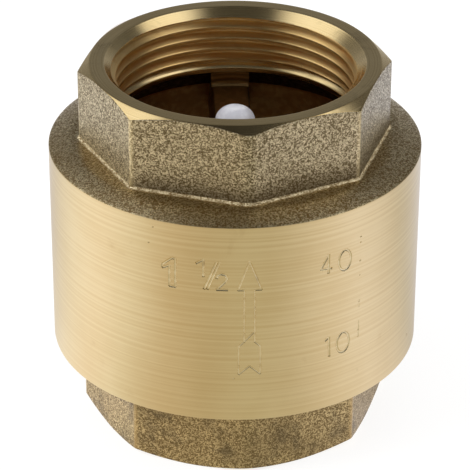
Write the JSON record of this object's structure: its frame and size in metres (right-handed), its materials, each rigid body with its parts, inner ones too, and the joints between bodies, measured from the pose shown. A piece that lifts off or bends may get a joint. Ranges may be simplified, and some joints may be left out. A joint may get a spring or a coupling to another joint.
{
  "type": "non-return valve",
  "caption": "Spring-loaded in-line check valve: brass body with octagonal female-threaded ends and a guided poppet that opens only towards the outlet.",
  "frame": {"origin": "centre of the flat inlet end face, on the bore axis", "axes": "+Z along the bore with the flow, from inlet to outlet; -Y towards the side that carries the flow arrow, with octagon corners on the X and Y axes"},
  "size_m": [0.071, 0.071, 0.0735],
  "materials": {
    "body_brass": "turned barrel and sockets, shot-blasted forged octagon and shoulder",
    "inlet_brass": "shot-blasted forged octagon, machined socket and seat",
    "seal_fibre": "compressed fibre sheet",
    "poppet_nylon": "natural moulded nylon",
    "gasket_rubber": "moulded nitrile rubber",
    "retainer_nylon": "natural moulded nylon",
    "spring_steel": "drawn stainless wire"
  },
  "bodies": {
    "housing": {"body": "body_brass", "inlet_connection": "inlet_brass", "union_seal": "seal_fibre", "spring": "spring_steel"},
    "poppet": {"poppet": "poppet_nylon", "seat_gasket": "gasket_rubber", "gasket_retainer": "retainer_nylon"}
  },
  "joints": [
    {"name": "poppet_lift", "type": "slide", "parent": "housing", "child": "poppet", "axis": [0, 0, 1], "range_m": [0, 0.009], "stiffness_N_per_m": 370, "springref_m": -0.0092, "deforming": ["spring"]}
  ]
}
